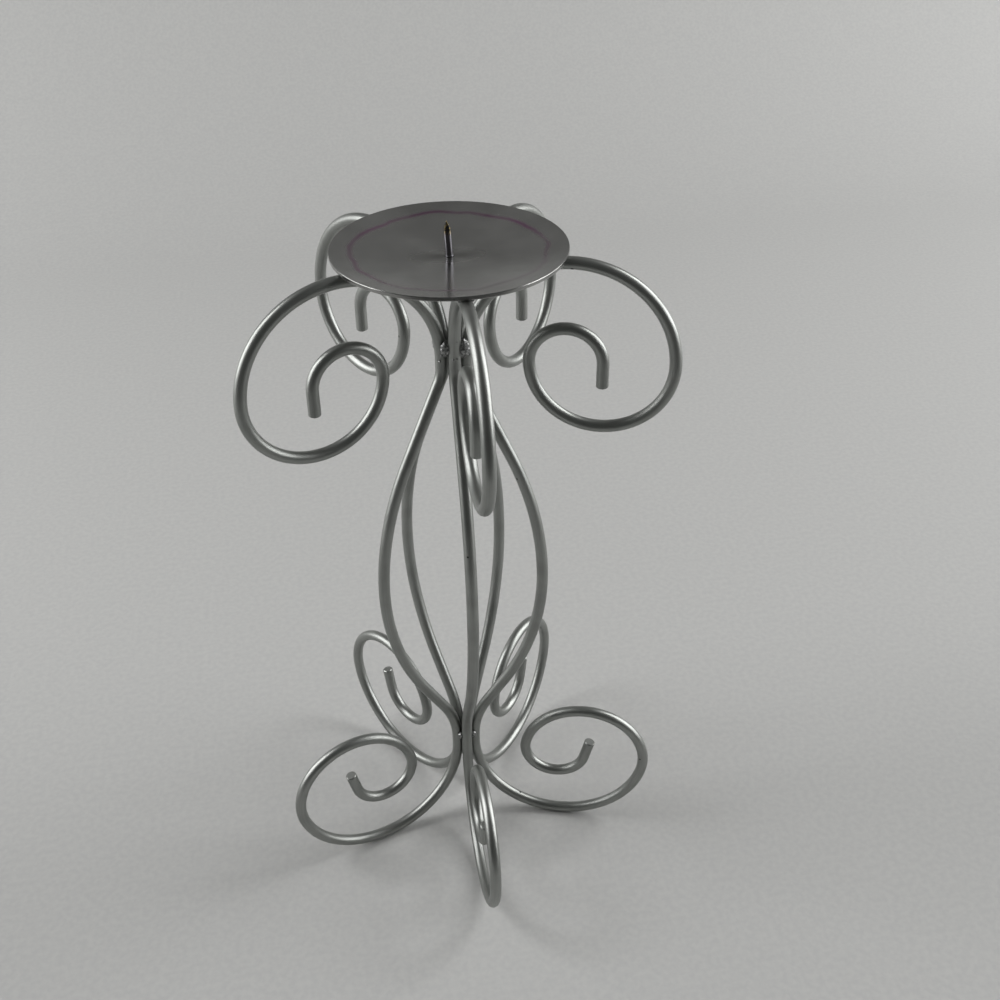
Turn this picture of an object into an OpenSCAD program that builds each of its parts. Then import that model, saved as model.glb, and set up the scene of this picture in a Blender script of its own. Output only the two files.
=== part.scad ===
// Torchere candle stand: five scrolled steel rods, welded together at the waist and the neck, carry a
// shallow drip pan with a candle spike. Millimetres, +Z up. The origin lies on the stand's axis, on the
// surface that the five feet rest on. The front rod stands over -Y.
//
// A rod is one flat run of bends in a vertical plane through the axis. A point of that plane is
// [distance from the axis, height], and a heading is an angle in it: 0 outwards, 90 up.

/* [Rod stock] */
// Diameter of the round rod that all five scrolls are bent from
rod_d = 5; // [3:0.1:7]
// Chamfer filed around each cut end of a rod
tip_chamfer = 0.4; // [0.1:0.1:1]

/* [Scroll jig] */
// Radius of the jig's outer groove, to the rod's centre line
jig_outer = 41; // [34:0.5:50]
// Radius of the jig's middle groove, to the rod's centre line
jig_middle = 28.5; // [22:0.5:33]
// Radius of the jig's inner groove, to the rod's centre line
jig_inner = 14.5; // [9:0.5:19]

/* [Head scroll] */
// Degrees that the rod turns around the outer groove, from the neck over the crown
head_outer_turn = 180; // [150:1:200]
// Degrees that it turns around the middle groove
head_middle_turn = 177; // [150:1:200]
// Degrees that it turns around the inner groove
head_inner_turn = 183; // [120:1:200]
// Length of the straight end inside the head scroll
head_tip = 10; // [4:0.5:20]

/* [Foot scroll] */
// Degrees that the rod turns around the outer groove, from the waist under the foot
foot_outer_turn = 166; // [140:1:190]
// Degrees that it turns around the middle groove
foot_middle_turn = 184; // [150:1:200]
// Degrees that it turns around the inner groove
foot_inner_turn = 176; // [120:1:200]
// Length of the straight end inside the foot scroll
foot_tip = 10.5; // [4:0.5:20]

/* [Waist] */
// Clear space between the two closest rods where they are welded at the waist
waist_gap = 0.1; // [0.1:0.1:1.5]
// Length over which the rods run upright and side by side at the waist
waist_land = 4; // [2:0.5:12]
// Radius of the bend that leads out of the waist into the belly
waist_bend = 45; // [20:1:70]
// Length of the straight run between the waist bend and the belly
ankle_straight = 18; // [0.5:0.5:35]

/* [Belly] */
// Distance from the axis to a rod's centre line at the widest level
belly_r = 36.5; // [25:0.5:48]
// Height of the widest level above the top of the waist's upright run
belly_rise = 100; // [85:1:130]
// Height of the neck's upright run above the widest level
shoulder_rise = 102; // [85:1:130]

/* [Neck] */
// Length of the straight run between the belly and the neck bend
shoulder_straight = 38; // [0.5:0.5:50]
// Radius of the bend that leads from the shoulder into the neck
neck_bend = 14; // [6:1:30]
// Length over which the rods run upright and side by side at the neck
neck_land = 5; // [2:0.5:12]
// Clear space between the two closest rods where they are welded at the neck
neck_gap = 0.9; // [0.1:0.1:2]

/* [Hand setting] */
// Degrees that the right rod stands off its even fifth of the circle, as it was set by hand
right_set = 0; // [-3:0.5:3]
// Degrees that the back right rod stands off its even fifth
back_right_set = -2; // [-3:0.5:3]
// Degrees that the back left rod stands off its even fifth
back_left_set = -3; // [-3:0.5:3]
// Degrees that the left rod stands off its even fifth
left_set = 1; // [-3:0.5:3]

/* [Drip pan] */
// Diameter of the pan over its cut rim
pan_d = 90; // [80:1:110]
// Depth of the dish from the rim down to its floor
pan_depth = 4.2; // [2:0.1:8]
// Thickness of the sheet that the pan is pressed from
sheet_t = 1.5; // [0.8:0.1:2.5]

/* [Candle spike] */
// Diameter of the spike's shank
spike_d = 2.8; // [2:0.1:4]
// Length of the spike above the pan's floor, with its point
spike_height = 14; // [8:0.5:30]
// Length of the four-sided point
point_length = 4.5; // [2:0.5:7]
// Extra radius of the neck that the heading dies leave on the shank below the flat head
grip_step = 0.2; // [0.2:0.05:0.4]
// Height of that neck's top above the pan's floor
grip_rise = 0.5; // [0.3:0.1:2]
// Degrees that the spike leans to the left, as it was set by hand
spike_lean = 3; // [0:0.5:6]
// Diameter of the flat head under the pan
head_d = 6.2; // [5:0.1:9]
// Thickness of the flat head
head_t = 1.1; // [0.6:0.1:2]
// Clearance around the shank's neck in the pan's hole, on the radius
hole_clearance = 0.15; // [0.05:0.05:0.4]

/* [Welds] */
// Diameter of the ripples in a neck weld
neck_weld_d = 5.2; // [3.5:0.1:7]
// Distance that a neck weld's centre stands out from the line between the two rods that it joins
neck_weld_out = 1.3; // [0.5:0.1:2.5]
// Height of the neck welds above the neck's upright run
neck_weld_rise = 5; // [0:0.5:8]
// Diameter of the ripples in a waist weld
waist_weld_d = 3; // [2:0.1:5]
// Distance that a waist weld's centre stands out from the line between the two rods that it joins
waist_weld_out = 1.5; // [0.8:0.1:2.5]
// Height of the waist welds above the waist's upright run
waist_weld_rise = 3; // [0:0.5:6]
// Diameter of the ripples in a tack between a rod and the pan
pan_weld_d = 3.2; // [2.2:0.1:5]
// Distance of a pan tack's centre below the pan's underside
pan_weld_drop = 0.6; // [0.2:0.1:1.2]
// Diameter of the two tacks that hold the spike's head under the pan
spike_weld_d = 2.6; // [1.8:0.1:4]
// Distance between two ripples as a share of their diameter
ripple_pitch = 0.3; // [0.15:0.05:0.5]
// Number of ripples in a neck weld
neck_ripples = 3; // [1:1:6]
// Number of ripples in a waist weld
waist_ripples = 2; // [1:1:4]
// Number of ripples in a tack between a rod and the pan
pan_ripples = 4; // [1:1:8]

/* [Hidden] */
$fn = 128;

rod_colour = "#a3a5a6";
pan_colour = "#777776";
spike_colour = "#8f8f90";
weld_colour = "#b9bbbc";

// The rods stand around the circle, counted anticlockwise from the front one.
rod_count = 5;
front_azimuth = -90;
hand_set = [0, right_set, back_right_set, back_left_set, left_set];
function azimuth(i) = front_azimuth + i * 360 / rod_count + hand_set[i % rod_count];
function step_after(i) = azimuth(i + 1) - azimuth(i);
closest_step = min([for (i = [0:rod_count - 1]) step_after(i)]);

// Distance from the axis at which the two closest rods are a given gap apart.
function ring_r(gap) = (rod_d + gap) / (2 * sin(closest_step / 2));
waist_r = ring_r(waist_gap);
neck_r = ring_r(neck_gap);

// The foot's outer bend touches the floor, which fixes the waist, and each level stands on the one below.
waist_z = jig_outer + rod_d / 2;
belly_foot_z = waist_z + waist_land;
neck_z = belly_foot_z + belly_rise + shoulder_rise;

// Half of the belly is one arc, tangent to the upright at the widest level and to a straight run that
// leads into a smaller bend of the opposite hand. Its radius follows from the span from that bend's
// end to the widest level, given as [outwards, upwards].
function belly_bend(span, bend, straight) =
    (pow(bend - span[0], 2) + pow(span[1], 2) - pow(bend, 2) - pow(straight, 2)) / (2 * span[0]);
function belly_turn(span, bend, straight) =
    atan2(span[1], bend + belly_bend(span, bend, straight) - span[0])
    - atan2(straight, bend + belly_bend(span, bend, straight));
lower_span = [belly_r - waist_r, belly_rise];
upper_span = [belly_r - neck_r, shoulder_rise];
lower_belly = belly_bend(lower_span, waist_bend, ankle_straight);
upper_belly = belly_bend(upper_span, neck_bend, shoulder_straight);
waist_turn = belly_turn(lower_span, waist_bend, ankle_straight);
neck_turn = belly_turn(upper_span, neck_bend, shoulder_straight);

// A bend is [radius, degrees]. A positive radius turns left and a negative one right. Radius 0 runs
// straight, and its second number is then a length.
foot_bends = [
    [jig_outer, foot_outer_turn],
    [jig_middle, foot_middle_turn],
    [jig_inner, foot_inner_turn],
    [0, foot_tip]
];
body_bends = [
    [0, waist_land],
    [-waist_bend, waist_turn],
    [0, ankle_straight],
    [lower_belly, waist_turn],
    [upper_belly, neck_turn],
    [0, shoulder_straight],
    [-neck_bend, neck_turn],
    [0, neck_land],
    [-jig_outer, head_outer_turn],
    [-jig_middle, head_middle_turn],
    [-jig_inner, head_inner_turn],
    [0, head_tip]
];

// Following the bends one after another: a stretch is [start point, start heading, bend].
function left_of(heading) = [-sin(heading), cos(heading)];
function heading_after(heading, bend) = bend[0] == 0 ? heading : heading + sign(bend[0]) * bend[1];
function point_after(point, heading, bend) =
    bend[0] == 0
    ? point + bend[1] * [cos(heading), sin(heading)]
    : point + bend[0] * (left_of(heading) - left_of(heading_after(heading, bend)));
function follow(bends, point, heading, i = 0) =
    i == len(bends)
    ? []
    : concat(
        [[point, heading, bends[i]]],
        follow(bends, point_after(point, heading, bends[i]), heading_after(heading, bends[i]), i + 1)
    );
foot_path = follow(foot_bends, [waist_r, waist_z], -90);
body_path = follow(body_bends, [waist_r, waist_z], 90);
waist_path = [body_path[0], body_path[1], body_path[2]];
neck_path = [body_path[7], body_path[8]];
crown = body_path[8];

// The dish is part of a ball. It rests on the five crowns: each crown's outer curve and the dish's
// underside are two circles that touch, so their centres are the sum of their radii apart.
dish_r = (pow(pan_d / 2, 2) + pow(pan_depth, 2)) / (2 * pan_depth);
under_r = dish_r + sheet_t;
crown_r = neck_r + jig_outer;
crown_z = neck_z + neck_land;
crown_top = jig_outer + rod_d / 2;
seat_tilt = asin(crown_r / (under_r + crown_top));
dish_z = crown_z + (under_r + crown_top) * cos(seat_tilt);
floor_z = dish_z - dish_r;

// The head hangs just far enough under the pan for its high edge to stay clear when the spike leans.
head_seat = hole_clearance + head_d / 2 * sin(spike_lean);

// Cutters reach this far past what they cut.
past = 1;

// Neighbouring stretches of a rod differ by this in radius, and lap over this length.
nest = 0.02;
nest_lap = 0.05;

// One stretch of the rod, of diameter d, drawn out by "lap" at both ends.
module stretch(s, d = rod_d, lap = 0) {
    point = s[0];
    heading = s[1];
    bend = s[2];
    if (bend[0] == 0)
        translate([point[0], 0, point[1]])
            rotate([0, 90 - heading, 0])
                translate([0, 0, -lap])
                    cylinder(d = d, h = bend[1] + 2 * lap);
    else {
        centre = point + bend[0] * left_of(heading);
        from = bend[0] > 0 ? heading - 90 : heading + 90 - bend[1];
        lap_turn = lap / abs(bend[0]) * 180 / PI;
        translate([centre[0], 0, centre[1]])
            rotate([90, 0, 0])
                rotate([0, 0, from - lap_turn])
                    rotate_extrude(angle = bend[1] + 2 * lap_turn)
                        translate([abs(bend[0]), 0])
                            circle(d = d);
    }
}

// The last straight run, cut off square with a filed chamfer.
module cut_end(s, d, lap) {
    length = s[2][1];
    translate([s[0][0], 0, s[0][1]])
        rotate([0, 90 - s[1], 0]) {
            translate([0, 0, -lap])
                cylinder(d = d, h = length - tip_chamfer + lap);
            translate([0, 0, length - tip_chamfer])
                cylinder(d1 = d, d2 = d - 2 * tip_chamfer, h = tip_chamfer);
        }
}

// A path's stretches as one body. Every second one, counted from "odd", is a hair thinner and laps into
// its neighbours, so that no two surfaces coincide where the stretches join.
module run_of_rod(path, odd) {
    last = len(path) - 1;
    for (k = [0:last]) {
        thin = (k + odd) % 2;
        d = rod_d - 2 * thin * nest;
        if (k == last)
            cut_end(path[k], d, thin * nest_lap);
        else
            stretch(path[k], d, thin * nest_lap);
    }
}

module scroll_rod(i) {
    color(rod_colour)
        rotate([0, 0, azimuth(i)]) {
            run_of_rod(foot_path, 0);
            run_of_rod(body_path, 1);
        }
}

// The spike's own axis: it leans about the centre of the pan's floor.
module on_spike_axis() {
    translate([0, 0, floor_z])
        rotate([0, -spike_lean, 0])
            children();
}

module dish_ball(r) {
    translate([0, 0, dish_z])
        sphere(r = r);
}

module drip_pan() {
    color(pan_colour)
        difference() {
            intersection() {
                dish_ball(under_r);
                translate([0, 0, floor_z - sheet_t - past])
                    cylinder(d = pan_d, h = pan_depth + sheet_t + past);
            }
            dish_ball(dish_r);
            on_spike_axis()
                translate([0, 0, -sheet_t - past])
                    cylinder(r = spike_d / 2 + grip_step + hole_clearance, h = sheet_t + 2 * past);
        }
}

// A wedge-ended slab. Two of them, crossed, cut the spike's shank to a four-sided point.
module point_slab(bottom) {
    half = spike_d / 2;
    rotate([90, 0, 0])
        translate([0, 0, -spike_d])
            linear_extrude(height = 2 * spike_d)
                polygon([
                    [-half, bottom],
                    [half, bottom],
                    [half, spike_height - point_length],
                    [0, spike_height],
                    [-half, spike_height - point_length]
                ]);
}

module spike_head() {
    translate([0, 0, -sheet_t - head_seat - head_t])
        cylinder(d = head_d, h = head_t);
}

module candle_spike() {
    head_z = -sheet_t - head_seat;
    color(spike_colour)
        on_spike_axis() {
            intersection() {
                translate([0, 0, head_z])
                    cylinder(d = spike_d, h = spike_height - head_z);
                point_slab(head_z);
                rotate([0, 0, 90])
                    point_slab(head_z);
            }
            translate([0, 0, head_z])
                cylinder(r = spike_d / 2 + grip_step, h = grip_rise - head_z);
            spike_head();
        }
}

// A short run of weld ripples along Z, around the origin.
module ripples(d, count) {
    for (k = [0:count - 1])
        translate([0, 0, (k - (count - 1) / 2) * d * ripple_pitch])
            sphere(d = d);
}

// How far a rod has swung outwards after rising by "rise" in a bend that starts upright.
function swing(bend, rise) = bend - sqrt(pow(bend, 2) - pow(rise, 2));

// Welds in the outer groove between each two neighbouring rods, cut away where the rods are.
module groove_welds(r, z, d, out, count, path) {
    color(weld_colour)
        for (i = [0:rod_count - 1])
            difference() {
                rotate([0, 0, azimuth(i) + step_after(i) / 2])
                    translate([r * cos(step_after(i) / 2) + out, 0, z])
                        ripples(d, count);
                for (side = [i, i + 1], s = path)
                    rotate([0, 0, azimuth(side)])
                        stretch(s);
            }
}

module neck_welds() {
    groove_welds(
        neck_r + swing(jig_outer, neck_weld_rise),
        crown_z + neck_weld_rise,
        neck_weld_d,
        neck_weld_out,
        neck_ripples,
        neck_path
    );
}

module waist_welds() {
    groove_welds(
        waist_r + swing(waist_bend, waist_weld_rise),
        belly_foot_z + waist_weld_rise,
        waist_weld_d,
        waist_weld_out,
        waist_ripples,
        waist_path
    );
}

// A block whose lower face lies on the XY plane, to cut a tack flat where it meets the pan.
module above(d) {
    translate([-2 * d, -2 * d, 0])
        cube([4 * d, 4 * d, 2 * d]);
}

// Carries its children to where a crown touches the pan: Z is square to the pan's underside there.
module on_crown(i) {
    rotate([0, 0, azimuth(i)])
        translate([crown_r, 0, crown_z])
            rotate([0, -seat_tilt, 0])
                translate([0, 0, crown_top])
                    children();
}

// Two tacks beside each crown, in the corner between the rod and the underside of the pan.
module pan_welds() {
    color(weld_colour)
        for (i = [0:rod_count - 1], side = [-1, 1])
            difference() {
                on_crown(i)
                    translate([0, side * (rod_d + pan_weld_d) / 4, -pan_weld_drop])
                        rotate([0, 90, 0])
                            ripples(pan_weld_d, pan_ripples);
                rotate([0, 0, azimuth(i)])
                    stretch(crown);
                on_crown(i)
                    above(pan_ripples * pan_weld_d);
            }
}

// Two tacks on opposite edges of the spike's head, against the underside of the pan.
module spike_welds() {
    color(weld_colour)
        for (side = [-1, 1])
            difference() {
                on_spike_axis()
                    translate([0, side * head_d / 2, -sheet_t - head_seat - head_t / 2])
                        sphere(d = spike_weld_d);
                on_spike_axis()
                    spike_head();
                translate([0, 0, floor_z - sheet_t])
                    above(head_d);
            }
}

scroll_rod(0);  // scroll_rod_front
scroll_rod(1);  // scroll_rod_right
scroll_rod(2);  // scroll_rod_back_right
scroll_rod(3);  // scroll_rod_back_left
scroll_rod(4);  // scroll_rod_left
drip_pan();
candle_spike();
neck_welds();
waist_welds();
pan_welds();
spike_welds();
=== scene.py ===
"""Looks of a torchere candle stand: five scrolled steel rods, a drip pan, a candle spike and their welds.

Metres throughout, +Z up, the stand's axis on the origin and its feet on the floor at height 0. The front
rod stands over -Y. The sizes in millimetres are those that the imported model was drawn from.
"""

import logging
import math
from dataclasses import dataclass, field
from enum import Enum
from typing import Any, Callable

import bpy
import numpy as np
from mathutils import Matrix, Vector


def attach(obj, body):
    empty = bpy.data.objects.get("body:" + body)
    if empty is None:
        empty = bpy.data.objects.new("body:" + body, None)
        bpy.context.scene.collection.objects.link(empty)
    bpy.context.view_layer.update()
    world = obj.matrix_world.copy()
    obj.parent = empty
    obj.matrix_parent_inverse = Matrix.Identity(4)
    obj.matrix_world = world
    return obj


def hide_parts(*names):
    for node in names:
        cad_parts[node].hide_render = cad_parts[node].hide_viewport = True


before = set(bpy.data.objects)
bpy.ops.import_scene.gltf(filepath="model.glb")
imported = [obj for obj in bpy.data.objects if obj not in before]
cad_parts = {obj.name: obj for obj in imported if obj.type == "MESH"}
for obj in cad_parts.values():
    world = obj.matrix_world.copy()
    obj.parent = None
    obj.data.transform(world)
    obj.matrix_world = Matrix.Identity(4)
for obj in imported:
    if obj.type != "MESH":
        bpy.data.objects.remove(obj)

MM = 0.001
BODY = "root"
log = logging.getLogger("candle_stand")


# ---------------------------------------------------------------- surfaces


@dataclass(frozen=True)
class Surface:
    """A closed surface as arrays: points in metres, four-sided and three-sided faces, point attributes."""

    points: np.ndarray
    quads: np.ndarray
    tris: np.ndarray
    along: np.ndarray

    def outward(self) -> "Surface":
        """Turns the faces outwards, by the sign of the volume that they hold.

        Returns:
            The same surface if it faced outwards already, and otherwise one with its faces reversed.
        """
        tris = np.vstack([self.quads[:, [0, 1, 2]], self.quads[:, [0, 2, 3]], self.tris])
        a, b, c = (self.points[tris[:, k]] for k in range(3))
        if float(np.einsum("ij,ij->i", a, np.cross(b, c)).sum()) >= 0:
            return self
        return Surface(self.points, self.quads[:, ::-1], self.tris[:, ::-1], self.along)


def tube(rings: np.ndarray, along: np.ndarray, poles: np.ndarray | None = None) -> Surface:
    """Closes a row of rings into a surface with a pole at each end.

    Point (i, j) of the surface is rings[i, j]; i runs from one pole to the other and j around.

    Args:
        rings: Points, shaped (rows, columns, 3).
        along: What each point carries for its material, shaped (rows, columns, 3).
        poles: The two end points, shaped (2, 3), or None for the middles of the end rings.

    Returns:
        The closed surface, facing outwards.
    """
    rows, cols = rings.shape[:2]
    if poles is None:
        poles = np.stack([rings[0].mean(0), rings[-1].mean(0)])
    index = np.arange(rows * cols).reshape(rows, cols)
    nxt = np.roll(index, -1, axis=1)
    quads = np.stack([index[:-1], nxt[:-1], nxt[1:], index[1:]], -1).reshape(-1, 4)
    first, last = rows * cols, rows * cols + 1
    start_fan = np.stack([nxt[0], index[0], np.full(cols, first)], -1)
    end_fan = np.stack([index[-1], nxt[-1], np.full(cols, last)], -1)
    ends = np.stack([along[0].mean(0), along[-1].mean(0)])
    points = np.vstack([rings.reshape(-1, 3), poles])
    carried = np.vstack([along.reshape(-1, 3), ends])
    return Surface(points, quads, np.vstack([start_fan, end_fan]), carried).outward()


def ring_wall(rings: np.ndarray) -> Surface:
    """Closes rings both ways, as a closed profile turned about an axis is.

    Args:
        rings: Points, shaped (profile points, columns, 3); the profile's last point joins its first.

    Returns:
        The closed surface, facing outwards. Its points carry their own places.
    """
    rows, cols = rings.shape[:2]
    index = np.arange(rows * cols).reshape(rows, cols)
    down, side = np.roll(index, -1, axis=0), np.roll(index, -1, axis=1)
    corner = np.roll(down, -1, axis=1)
    quads = np.stack([index, side, corner, down], -1).reshape(-1, 4)
    points = rings.reshape(-1, 3)
    return Surface(points, quads, np.zeros((0, 3), int), points.copy()).outward()


def joined(parts: list[Surface]) -> Surface:
    """Returns several closed surfaces as one, one after another."""
    start = np.cumsum([0] + [len(p.points) for p in parts])
    return Surface(
        np.vstack([p.points for p in parts]),
        np.vstack([p.quads + n for p, n in zip(parts, start)]),
        np.vstack([p.tris + n for p, n in zip(parts, start)]),
        np.vstack([p.along for p in parts]),
    )


def piece(name: str, surface: Surface, material: bpy.types.Material) -> bpy.types.Object:
    """Puts a surface into the scene as a smooth-shaded object at the origin.

    Args:
        name: The object's name.
        surface: What it is made of.
        material: Its material.

    Returns:
        The new object. Its point attribute "run" holds the surface's "along" vectors.
    """
    mesh = bpy.data.meshes.new(name)
    mesh.from_pydata(surface.points, [], surface.quads.tolist() + surface.tris.tolist())
    mesh.polygons.foreach_set("use_smooth", np.ones(len(mesh.polygons), bool))
    run = mesh.attributes.new("run", "FLOAT_VECTOR", "POINT")
    run.data.foreach_set("vector", surface.along.astype(np.float32).ravel())
    mesh.materials.append(material)
    mesh.update()
    made = bpy.data.objects.new(name, mesh)
    bpy.context.scene.collection.objects.link(made)
    log.info("%s: %d points, %d faces", name, len(mesh.vertices), len(mesh.polygons))
    return made


def turned(points: np.ndarray, azimuth: float) -> np.ndarray:
    """Returns points turned about the stand's axis by an azimuth in degrees."""
    c, s = math.cos(math.radians(azimuth)), math.sin(math.radians(azimuth))
    return points @ np.array([[c, s, 0.0], [-s, c, 0.0], [0.0, 0.0, 1.0]])


# ---------------------------------------------------------------- materials

# Sockets of a Mix node set to colours, which are told apart by number only.
FIRST, SECOND, MIXED = 6, 7, 2


def linear(colour: str) -> tuple[float, float, float, float]:
    """Turns an sRGB colour to linear light, by the sRGB curve: a straight foot and a power of 2.4 above it.

    Args:
        colour: A hex colour such as "#a3a5a6".

    Returns:
        Linear red, green and blue, and an alpha of 1.
    """
    parts = [int(colour[k : k + 2], 16) / 255 for k in (1, 3, 5)]
    r, g, b = (p / 12.92 if p <= 0.04045 else ((p + 0.055) / 1.055) ** 2.4 for p in parts)
    return (r, g, b, 1.0)


def add_node(
    tree: bpy.types.NodeTree, kind: str, inputs: dict[Any, Any] | None = None, **settings: Any
) -> bpy.types.Node:
    """Adds a node with its settings and what goes into it.

    Args:
        tree: The node tree.
        kind: The node's type without "ShaderNode", such as "Math".
        inputs: Input name or number to what it gets: a number, a vector, a hex colour, a node for that
            node's first output, or a node and the name or number of another of its outputs.
        **settings: The node's own properties.

    Returns:
        The new node.
    """
    node = tree.nodes.new(f"ShaderNode{kind}")
    for name, value in settings.items():
        setattr(node, name, value)
    for name, value in (inputs or {}).items():
        if isinstance(value, bpy.types.Node):
            value = (value, 0)
        if isinstance(value, tuple) and isinstance(value[0], bpy.types.Node):
            tree.links.new(value[0].outputs[value[1]], node.inputs[name])
        else:
            node.inputs[name].default_value = linear(value) if isinstance(value, str) else value
    return node


def finished(name: str, tree_of: Callable[[bpy.types.NodeTree], dict[str, Any]]) -> bpy.types.Material:
    """Makes a material with one Principled shader.

    Args:
        name: What the material really is.
        tree_of: Builds the patterns in the material's tree and returns what goes into the shader.

    Returns:
        The material.
    """
    material = bpy.data.materials.new(name)
    material.use_nodes = True
    tree = material.node_tree
    tree.nodes.clear()
    shader = add_node(tree, "BsdfPrincipled", tree_of(tree))
    add_node(tree, "OutputMaterial", {"Surface": shader})
    return material


@dataclass(frozen=True)
class DrawnRodFinish:
    """Drawn mild steel rod with a satin surface.

    Drawing through a die leaves fine scratches along the rod, which spread its highlight around it but
    not along it. Handling has dulled it in patches, and bending and welding leave small dark nicks.
    """

    name: str = "satin_drawn_steel"
    steel: str = "#9c9e9b"
    dull: str = "#818380"
    nick: str = "#1c1c1d"
    roughness: float = 0.4
    roughness_swing: float = 0.05
    scratch_mm: float = 0.35  # drawing scratches are finer than this, and are drawn so that they show
    scratch_run_mm: float = 22.0
    scratch_depth_mm: float = 0.03
    scratch_share: float = 0.3  # how far the scratches turn the steel dull
    patch_mm: float = 14.0
    patch_share: float = 0.6
    nick_mm: float = 6.5  # distance between the places where a nick can be
    nick_from: float = 0.6  # a place has a nick if its random number, from 0 to 1, is above this
    nick_size: float = 0.12  # the largest nick's radius and the width of its edge, as shares of nick_mm
    nick_edge: float = 0.03

    def nicks(self, tree: bpy.types.NodeTree, run: Any) -> bpy.types.Node:
        """Builds the nicks: only the cells whose own random number is high get one, and it grows with it.

        Args:
            tree: The material's tree.
            run: The output that tells the place along and across the rod.

        Returns:
            The node that is 1 in a nick and 0 beside it.
        """
        spots = add_node(tree, "TexVoronoi", {"Vector": run, "Scale": 1 / (self.nick_mm * MM)})
        chance = add_node(tree, "SeparateColor", {0: (spots, "Color")})
        size = add_node(
            tree, "MapRange", {"Value": chance, "From Min": self.nick_from, "To Max": self.nick_size}
        )
        inside = add_node(tree, "Math", {0: size, 1: (spots, "Distance")}, operation="SUBTRACT")
        return add_node(tree, "MapRange", {"Value": inside, "From Max": self.nick_edge})

    def nodes(self, tree: bpy.types.NodeTree) -> dict[str, Any]:
        """Builds the patterns, which follow the rod's own run.

        Args:
            tree: The material's tree.

        Returns:
            What goes into the shader.
        """
        run = (add_node(tree, "Attribute", attribute_name="run"), "Vector")
        across, lengthwise = 1 / (self.scratch_mm * MM), 1 / (self.scratch_run_mm * MM)
        drawn = add_node(tree, "Mapping", {"Vector": run, "Scale": (lengthwise, across, across)})
        scratch = add_node(tree, "TexNoise", {"Vector": drawn, "Scale": 1.0, "Detail": 3.0})
        patch = add_node(tree, "TexNoise", {"Vector": run, "Scale": 1 / (self.patch_mm * MM), "Detail": 2.0})
        nicked = self.nicks(tree, run)
        dulled = add_node(
            tree,
            "MapRange",
            {"Value": patch, "From Min": 0.4, "From Max": 0.75, "To Max": self.patch_share},
            interpolation_type="SMOOTHSTEP",
        )
        lined = add_node(
            tree,
            "MapRange",
            {"Value": scratch, "From Min": 0.3, "From Max": 0.7, "To Max": self.scratch_share},
        )
        colour: Any = self.steel
        for share, over in ((dulled, self.dull), (lined, self.dull), (nicked, self.nick)):
            mix = add_node(tree, "Mix", {"Factor": share, FIRST: colour, SECOND: over}, data_type="RGBA")
            colour = (mix, MIXED)
        rough = add_node(
            tree,
            "MapRange",
            {
                "Value": scratch,
                "From Min": 0.25,
                "From Max": 0.75,
                "To Min": self.roughness - self.roughness_swing,
                "To Max": self.roughness + self.roughness_swing,
            },
        )
        rougher = add_node(tree, "Math", {0: nicked, 1: 0.3, 2: rough}, operation="MULTIPLY_ADD")
        depth = self.scratch_depth_mm * MM
        bump = add_node(tree, "Bump", {"Height": scratch, "Strength": 0.12, "Distance": depth})
        return {"Base Color": colour, "Roughness": rougher, "Normal": bump, "Metallic": 1.0}


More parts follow.
